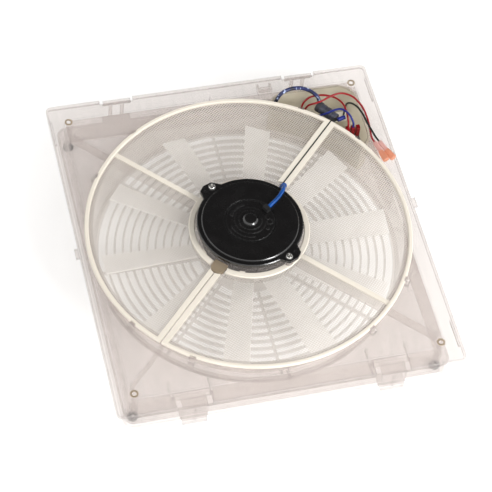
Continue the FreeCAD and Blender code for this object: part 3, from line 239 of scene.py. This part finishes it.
def see_through(name, colour, clear=0.35, rough=0.25):
    """Tinted plastic that light passes through, such as the blades or the wiring housing."""
    material, tree = graph(name)
    flow = noise(tree, 60, 4)
    base = blend_colour(tree, spread(tree, flow, 0, 1), shade(colour, 0.93), rgba(colour))
    skin = bump(tree, noise(tree, 1200, 2), 0.1)
    body = add(tree, "BsdfPrincipled", {"Base Color": base, "Roughness": rough, "Normal": skin}).outputs[0]
    glow = add(tree, "BsdfTranslucent", {"Color": base}).outputs[0]
    solid = add(tree, "MixShader", {"Fac": TINTED_GLOW, 1: body, 2: glow}).outputs[0]
    through = add(tree, "BsdfTransparent", {"Color": base}).outputs[0]
    facing = add(tree, "LayerWeight", {"Blend": 0.35}).outputs["Facing"]
    amount = spread(tree, facing, clear, clear * 0.2, 0.0, 1.0)
    surface = add(tree, "MixShader", {"Fac": amount, 1: solid, 2: through}).outputs[0]
    return finish_with(material, tree, pass_light(tree, surface, TINTED_PASS))


def printed_sleeve(name, colour, dark, light):
    """Blue sleeving with darker worn patches and a few pale scuffs."""
    material, tree = graph(name)
    patch = spread(tree, noise(tree, 130, 4), 0, 1, 0.45, 0.6)
    scuff = spread(tree, noise(tree, 300, 3, (1, 1, 0.5)), 0, 1, 0.62, 0.68)
    worn = blend_colour(tree, patch, rgba(colour), rgba(dark))
    base = blend_colour(tree, scuff, worn, rgba(light))
    skin = bump(tree, noise(tree, 700, 3), 0.15)
    body = add(tree, "BsdfPrincipled", {"Base Color": base, "Roughness": 0.35, "Normal": skin}).outputs[0]
    return finish_with(material, tree, body)


def metal(name, colour, rough=0.25, brushed=(1, 1, 1), wear=0.12):
    material, tree = graph(name)
    lines = noise(tree, 400, 4, brushed)
    base = blend_colour(tree, spread(tree, lines, 0, 1), shade(colour, 1 - wear), rgba(colour))
    skin = bump(tree, lines, 0.12, 0.02 * MM)
    dull = spread(tree, lines, rough * 0.8, rough * 1.3)
    body = add(tree, "BsdfPrincipled", {"Base Color": base, "Metallic": 1.0, "Normal": skin,
                                        "Roughness": dull}).outputs[0]
    return finish_with(material, tree, body)


def enamel(name, colour):
    """Glossy black enamel with orange peel, softened edges and a little wear."""
    material, tree = graph(name)
    soft = add(tree, "Bevel", {"Radius": 0.6 * MM}).outputs[0]
    peel = noise(tree, 700, 2)
    rub = spread(tree, noise(tree, 35, 6), 0, 1, 0.52, 0.72)
    base = blend_colour(tree, rub, rgba(colour), shade(colour, 1.8))
    rough = spread(tree, noise(tree, 90, 4), 0.20, 0.32)
    skin = add(tree, "Bump", {"Height": peel, "Strength": 0.18, "Distance": 0.05 * MM,
                              "Normal": soft}).outputs[0]
    body = add(tree, "BsdfPrincipled", {"Base Color": base, "Roughness": rough, "Specular IOR Level": 0.5,
                                        "Coat Weight": 0.5, "Coat Roughness": 0.2,
                                        "Normal": skin}).outputs[0]
    return finish_with(material, tree, body)


LOOKS = {
    "clear_plastic": clear_plastic("clear_polycarbonate"),
    "cream_plastic": moulded("cream_moulding", (0.68, 0.63, 0.55), 0.38, 0.03, translucent=0.12),
    "screen_mesh": moulded("screen_thread", (0.57, 0.53, 0.48), 0.5, 0.04, 0.0, translucent=0.25),
    "beige_plastic": see_through("smoky_beige", (0.42, 0.345, 0.25), 0.35),
    "black_enamel": enamel("motor_enamel", (0.0022, 0.0018, 0.0018)),
    "bearing_steel": metal("ground_steel", (0.60, 0.60, 0.62), 0.2, (1, 1, 12)),
    "ferrite": moulded("sintered_ferrite", (0.06, 0.06, 0.065), 0.6, 0.2, 0.4, 900),
    "screw_steel": metal("plated_steel", (0.85, 0.84, 0.81), 0.12),
    "card_board": moulded("phenolic_board", (0.22, 0.12, 0.05), 0.5, 0.2),
    "carbon": moulded("carbon_block", (0.03, 0.03, 0.03), 0.5, 0.3, 0.3),
    "core_steel": metal("laminated_steel", (0.34, 0.34, 0.36), 0.35, (1, 1, 40)),
    "copper_wire": metal("enamelled_copper", (0.65, 0.28, 0.12), 0.25, (8, 8, 30)),
    "white_plastic": see_through("blade_moulding", (0.94, 0.92, 0.90), 0.10, 0.3),
    "black_rubber": moulded("black_rubber", (0.006, 0.006, 0.006), 0.6, 0.2, 0.3, 1000),
    "smoke_plastic": see_through("smoky_moulding", (0.70, 0.66, 0.56), 0.5, 0.2),
    "dark_plastic": moulded("dark_moulding", (0.03, 0.03, 0.035), 0.45, 0.1),
    "light_plastic": moulded("light_moulding", (0.80, 0.78, 0.72), 0.4),
    "red_plastic": moulded("red_insulation", (0.24, 0.005, 0.010), 0.32, 0.1, 0.1),
    "ceramic": moulded("white_ceramic", (0.80, 0.78, 0.72), 0.6, 0.08, 0.4, 700),
    "grey_plastic": moulded("grey_moulding", (0.05, 0.052, 0.07), 0.25, 0.1),
    "blue_plastic": moulded("blue_insulation", (0.008, 0.016, 0.16), 0.32, 0.1, 0.1),
    "blue_sleeve": moulded("blue_sleeving", (0.001, 0.06, 0.27), 0.22, 0.4, 0.15),
    "navy_sleeve": printed_sleeve("navy_sleeving", (0.006, 0.012, 0.075), (0.002, 0.003, 0.008),
                                  (0.35, 0.42, 0.60)),
    "black_wire": moulded("black_insulation", (0.008, 0.010, 0.008), 0.35, 0.1, 0.1),
    "pink_plastic": see_through("pink_sleeving", (0.80, 0.56, 0.52), 0.6, 0.2),
    "orange_plastic": see_through("orange_moulding", (0.80, 0.44, 0.30), 0.5),
}


def dress_frame():
    """Give every carried-over node its material."""
    slots = {entry["node"]: entry["material_slot"] for entry in frame["record"]["subparts"]}
    for name, thing in frame["nodes"].items():
        thing.data.materials.clear()
        thing.data.materials.append(LOOKS[slots[name]])


# ---------------------------------------------------------------- mesh helpers

def new_piece(name, mesh_maker, body, slot_name, *stands_for):
    """A mesh piece that rides on a body, takes a slot's look and may replace CAD nodes."""
    mesh = bpy.data.meshes.new(name)
    work = bmesh.new()
    mesh_maker(work)
    bmesh.ops.recalc_face_normals(work, faces=work.faces)
    work.to_mesh(mesh)
    work.free()
    mesh.shade_smooth()
    mesh.set_sharp_from_angle(angle=SHARP_ANGLE)
    piece = bpy.data.objects.new(name, mesh)
    bpy.context.scene.collection.objects.link(piece)
    mesh.materials.append(LOOKS[slot_name])
    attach(piece, body)
    if stands_for:
        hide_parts(*stands_for)
    return piece


def thread(work, start, end):
    """A closed round thread between two points."""
    way = (end - start).normalized()
    across = way.orthogonal().normalized()
    other = way.cross(across)
    rings = []
    angles = [TURN * n / THREAD_SIDES for n in range(THREAD_SIDES)]
    spokes = [(across * math.cos(angle) + other * math.sin(angle)) * THREAD_RADIUS for angle in angles]
    for centre in (start, end):
        rings.append([work.verts.new(centre + spoke) for spoke in spokes])
    for n in range(THREAD_SIDES):
        after = (n + 1) % THREAD_SIDES
        work.faces.new((rings[0][n], rings[0][after], rings[1][after], rings[1][n]))
    work.faces.new(rings[0])
    work.faces.new(rings[1])


# ---------------------------------------------------------------- insect screen

def screen_threads(side):
    """Maker of one half's threads; side is +1 left of the parting diagonal and -1 right of it."""
    low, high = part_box("mesh_left" if side > 0 else "mesh_right")
    outer = max(abs(low[0]), abs(high[0]))
    floor = low[2] + THREAD_RADIUS
    along = Vector((math.cos(DIAGONAL), math.sin(DIAGONAL), 0))
    aside = Vector((-math.sin(DIAGONAL), math.cos(DIAGONAL), 0)) * side
    count = int(outer / THREAD_PITCH)

    def hub_edge(offset, from_keyhole):
        """How far out the hub and its keyhole reach on the line at this offset."""
        edge = math.sqrt(max(0.0, MESH_INNER ** 2 - offset ** 2))
        inside = KEYHOLE_RADIUS ** 2 - from_keyhole ** 2
        return max(edge, math.sqrt(inside)) if inside > 0 else edge

    def weave(work, start, end, level):
        if (end - start).length > THREAD_PITCH:
            lift = Vector((0, 0, level))
            thread(work, start + lift, end + lift)

    def make(work):
        for row in range(1, count):
            offset = row * THREAD_PITCH
            reach = math.sqrt(outer ** 2 - offset ** 2)
            hub = math.sqrt(max(0.0, MESH_INNER ** 2 - offset ** 2))
            if offset < KEYHOLE_RADIUS:
                hub = KEYHOLE_PLACE + math.sqrt(KEYHOLE_RADIUS ** 2 - offset ** 2)
            for way in (-1, 1):
                start = aside * offset + along * way * hub
                weave(work, start, aside * offset + along * way * reach, floor)
        for row in range(-count + 1, count):
            offset = row * THREAD_PITCH
            reach = math.sqrt(outer ** 2 - offset ** 2)
            near = max(hub_edge(offset, abs(offset) - KEYHOLE_PLACE), PARTING)
            weave(work, along * offset + aside * near, along * offset + aside * reach, floor + THREAD_RADIUS)
    return make


def insect_screens():
    for label, side in (("left", 1), ("right", -1)):
        new_piece(f"screen_{label}", screen_threads(side), "frame", "screen_mesh", f"mesh_{label}")


# ---------------------------------------------------------------- turned details

def upright(angle, radius, height):
    """A place on the given bearing from the fan axis, pointing up."""
    bearing = math.radians(angle)
    return Matrix.Translation((radius * math.cos(bearing) * MM, radius * math.sin(bearing) * MM, height * MM))


def aimed(start, end):
    """A place at start whose Z axis points at end; both in millimetres."""
    way = (Vector(end) - Vector(start)).normalized()
    return Matrix.Translation(Vector(start) * MM) @ way.to_track_quat("Z", "Y").to_matrix().to_4x4()


def lathe(work, place, profile, sides=32, shape=None):
    """Turn a profile of (radius, height) in millimetres about a placed axis; shape may bend each point."""
    rings = []
    for radius, height in profile:
        ring = []
        for n in range(sides):
            angle = TURN * n / sides
            out, up = shape(radius, height, angle) if shape else (radius, height)
            spot = Vector((out * math.cos(angle) * MM, out * math.sin(angle) * MM, up * MM))
            ring.append(work.verts.new(place @ spot))
        rings.append(ring)
    for below, above in zip(rings, rings[1:]):
        for n in range(sides):
            after = (n + 1) % sides
            work.faces.new((below[n], below[after], above[after], above[n]))
    work.faces.new(rings[0])
    work.faces.new(rings[-1])


def pan_head():
    """Profile of a screw: shank, washer face, rounded pan head and the middle of its drive."""
    profile = [(1.9, SCREW_LOW), (1.9, FLANGE_TOP), (4.0, FLANGE_TOP)]
    for n in range(1, 9):
        lean = math.radians(90 * n / 12)
        profile.append((2.6 + 1.4 * math.cos(lean), FLANGE_TOP + SCREW_HEAD * math.sin(lean)))
    top = profile[-1][1]
    profile.extend((radius, top + 0.25 * (1 - radius / 3)) for radius in (2.6, 2.2, 1.6, 1.0, 0.5, 0.1))
    return profile


def cross_drive(radius, height, angle):
    """Sink the points that lie on the two arms of a cross."""
    inside = radius < 2.3 and min(abs(math.sin(angle)), abs(math.cos(angle))) * radius < 0.45
    return (radius, height - 0.9) if inside and height > FLANGE_TOP + 1 else (radius, height)


def ribbed(depth, count):
    """A shape that cuts shallow flutes along a turned piece."""
    def shape(radius, height, angle):
        wave = depth * math.cos(count * angle) if radius > 2 * depth and height > 1 else 0
        return radius + min(wave, 0), height
    return shape


def motor_screws():
    def make(work):
        for angle in BOSS_ANGLES:
            lathe(work, upright(angle, BOSS_PLACE, 0), pan_head(), FINE_SIDES, cross_drive)
    new_piece("pan_head_screws", make, "frame", "screw_steel", "motor_screws")


def wire_nuts():
    profile = [(0.1, 0), (2.7, 0), (3.0, 0.4), (3.0, 2.4), (3.3, 3.0), (3.8, 12.2), (3.4, 12.9), (0.1, 13)]

    def make(work):
        for start, end in WIRE_NUTS:
            lathe(work, aimed(start, end), profile, FINE_SIDES, ribbed(0.35, 12))
    new_piece("wire_nuts", make, "frame", "orange_plastic", "splice_caps")


def fuse_parts():
    tube = [(0.1, 0), (5.7, 0), (6, 0.4), (6, 4), (5.5, 4.4), (5.5, 6), (6, 6.4), (6, 14), (5.3, 14.6),
            (5.3, 20.4), (4.9, 21.1), (0.1, 21.1)]
    knob = [(0.1, -6), (5.6, -6), (6.4, -5.2), (6.4, -0.6), (6, 0), (0.1, 0)]
    place = aimed(*FUSE_AXIS)
    new_piece("fuse_tube", lambda work: lathe(work, place, tube, FINE_SIDES), "frame", "grey_plastic",
              "fuse_holder")
    new_piece("fuse_knob", lambda work: lathe(work, place, knob, KNOB_SIDES), "frame", "dark_plastic",
              "fuse_cap")


def lead_tie():
    """The collar that gathers the outer end of the motor's sleeve."""
    profile = [(0.1, -2.2), (2.3, -2.2), (2.9, -1.5), (2.6, -0.4), (3.0, 0.6), (2.8, 1.6), (2.2, 2.2),
               (0.1, 2.2)]
    new_piece("lead_tie", lambda work: lathe(work, aimed(*TIE_AXIS), profile), "frame", "blue_sleeve")


# ---------------------------------------------------------------- camera, floor and light

# metres, degrees and millimetres of lens; the bearing is clockwise from +Y and the dip is below level
CAMERA_PLACE = (-0.4202, -1.1444, 1.746)
CAMERA_BEARING = 20.12
CAMERA_DIP = 54.83
CAMERA_ROLL = 7.86
CAMERA_LENS = 143.34
SENSOR_WIDTH = 36
CLIP_START = 0.05
# the direction of the dim patch of sky, its reach to either side in degrees, and the sky's levels
DIM_PATCH = (0.20, 0.54, 0.817)
DIM_START = 52
DIM_FULL = 30
SKY_LEVEL = 1.4
SKY_DIM = 0.10
# how many clear faces light may cross
CLEAR_LAYERS = 40
FLOOR_HALF = 6.0
FLOOR_COLOUR = (0.78, 0.77, 0.76)
FLOOR_GLOW = 0.10
LIGHT_TARGET = (0, 0, 0.03)
# name, place, size in metres and power in watts
LIGHTS = (("key", (-1.6, 0.5, 1.8), 0.8, 5), ("front", (0.9, -1.5, 0.9), 0.6, 30),
          ("fill", (1.6, -0.6, 1.6), 1.6, 18))


def set_camera():
    data = bpy.data.cameras.new("view")
    data.sensor_width = SENSOR_WIDTH
    data.lens = CAMERA_LENS
    data.clip_start = CLIP_START
    camera = bpy.data.objects.new("view", data)
    bpy.context.scene.collection.objects.link(camera)
    aim = (Matrix.Rotation(math.radians(-CAMERA_BEARING), 4, "Z")
           @ Matrix.Rotation(math.radians(90 - CAMERA_DIP), 4, "X")
           @ Matrix.Rotation(math.radians(CAMERA_ROLL), 4, "Z"))
    camera.matrix_world = Matrix.Translation(CAMERA_PLACE) @ aim
    bpy.context.scene.camera = camera


def area_light(name, place, size, power):
    """A round soft light that faces the fan."""
    data = bpy.data.lights.new(name, "AREA")
    data.shape = "DISK"
    data.size = size
    data.energy = power
    light = bpy.data.objects.new(name, data)
    bpy.context.scene.collection.objects.link(light)
    light.location = place
    light.rotation_euler = (Vector(LIGHT_TARGET) - Vector(place)).to_track_quat("-Z", "Y").to_euler()


def sky():
    """White all round, with a dim patch high on the far side as an unlit part of a studio's ceiling."""
    world = bpy.data.worlds.new("studio")
    world.use_nodes = True
    tree = world.node_tree
    background = tree.nodes["Background"]
    toward = add(tree, "TexCoord").outputs["Generated"]
    middle = add(tree, "CombineXYZ", {"X": DIM_PATCH[0], "Y": DIM_PATCH[1], "Z": DIM_PATCH[2]}).outputs[0]
    close = add(tree, "VectorMath", {0: toward, 1: middle}, operation="DOT_PRODUCT").outputs["Value"]
    level = spread(tree, close, SKY_LEVEL, SKY_DIM, math.cos(math.radians(DIM_START)),
                   math.cos(math.radians(DIM_FULL)))
    tree.links.new(level, background.inputs["Strength"])
    background.inputs["Color"].default_value = (1, 1, 1, 1)
    bpy.context.scene.world = world


def studio():
    """A white floor, the sky and the lights."""
    mesh = bpy.data.meshes.new("floor")
    corners = [(x * FLOOR_HALF, y * FLOOR_HALF, 0) for x, y in ((-1, -1), (1, -1), (1, 1), (-1, 1))]
    mesh.from_pydata(corners, [], [(0, 1, 2, 3)])
    floor = bpy.data.objects.new("floor", mesh)
    bpy.context.scene.collection.objects.link(floor)
    paper, tree = graph("paper")
    sheet = add(tree, "BsdfDiffuse", {"Color": rgba(FLOOR_COLOUR)}).outputs[0]
    lit = add(tree, "Emission", {"Color": (1, 1, 1, 1), "Strength": FLOOR_GLOW}).outputs[0]
    mesh.materials.append(finish_with(paper, tree, add(tree, "AddShader", {0: sheet, 1: lit}).outputs[0]))
    sky()
    for light in LIGHTS:
        area_light(*light)
    bpy.context.scene.view_settings.view_transform = "Standard"
    bpy.context.scene.cycles.transparent_max_bounces = CLEAR_LAYERS


set_camera()
dress_frame()
insect_screens()
motor_screws()
wire_nuts()
fuse_parts()
lead_tie()
studio()
